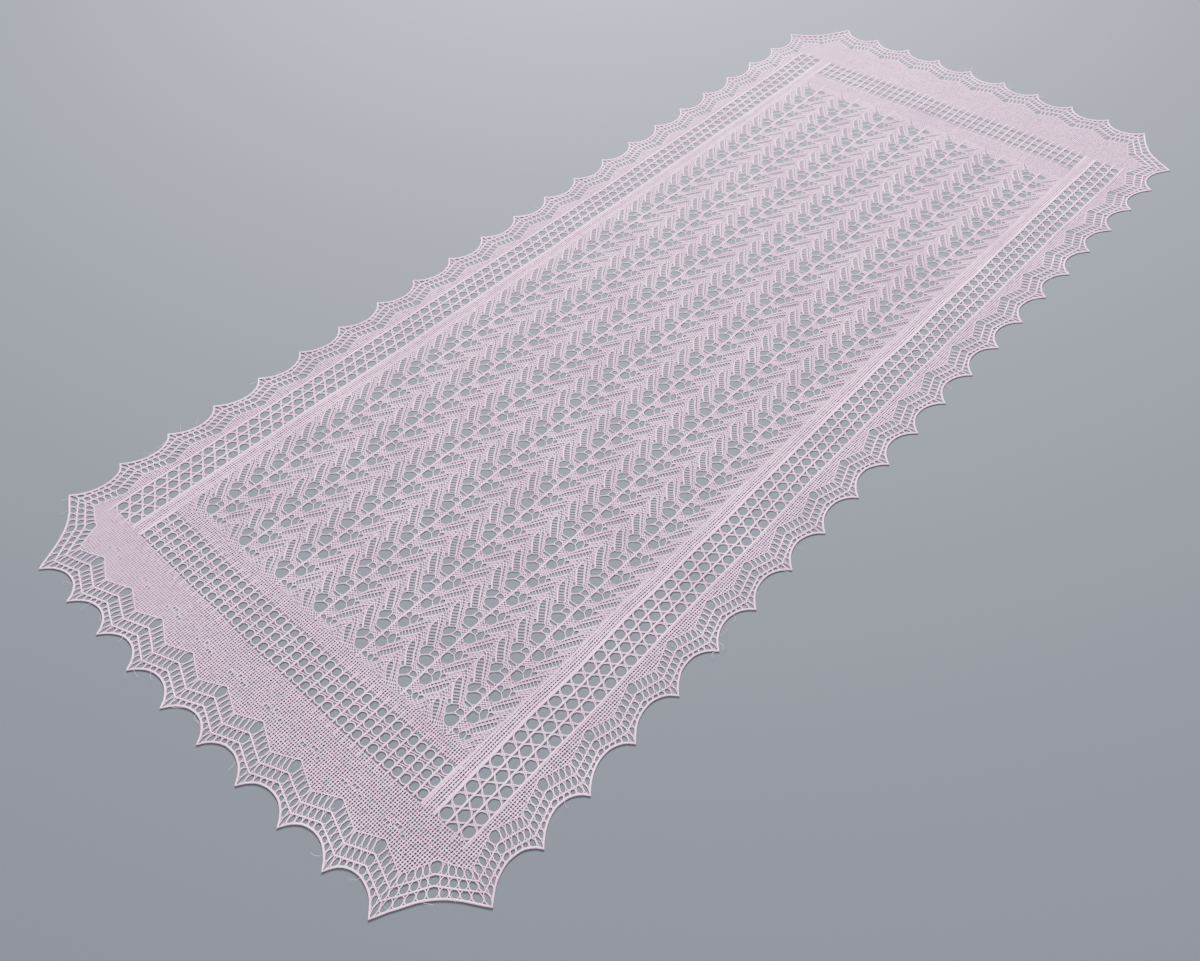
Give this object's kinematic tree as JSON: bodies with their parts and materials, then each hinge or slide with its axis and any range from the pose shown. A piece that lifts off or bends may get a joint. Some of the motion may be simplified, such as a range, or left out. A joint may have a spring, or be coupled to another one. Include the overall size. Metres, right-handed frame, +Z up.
{
  "type": "lace shawl",
  "caption": "Rectangular knitted lace shawl in fine pale pink mohair, blocked flat, with fern lace in the middle, eyelet bands and a scalloped net edging.",
  "frame": {"origin": "middle of the underside, at the centre of the outline's box", "axes": "+Y along the length towards the far end, +X across the width to the right, +Z up out of the cloth"},
  "size_m": [0.6922, 1.5698, 0.0016],
  "materials": {
    "lace_yarn": "fine pale pink-lilac mohair and silk laceweight yarn, knitted open, with a soft matt halo",
    "plain_yarn": "the same yarn in close plain knitting, matt and softly fuzzy",
    "edging_yarn": "the same yarn in an open net edging, with a doubled cord along the scallops"
  },
  "bodies": {
    "root": {"centre_panel": "lace_yarn", "inner_band_near": "plain_yarn", "inner_band_far": "plain_yarn", "outer_band_near": "plain_yarn", "outer_band_far": "plain_yarn", "ridge_band_left": "plain_yarn", "ridge_band_right": "plain_yarn", "eyelet_band_left": "lace_yarn", "eyelet_band_right": "lace_yarn", "eyelet_band_near": "lace_yarn", "eyelet_band_far": "lace_yarn", "edging_left": "edging_yarn", "edging_right": "edging_yarn", "edging_near": "edging_yarn", "edging_far": "edging_yarn"}
  },
  "joints": []
}
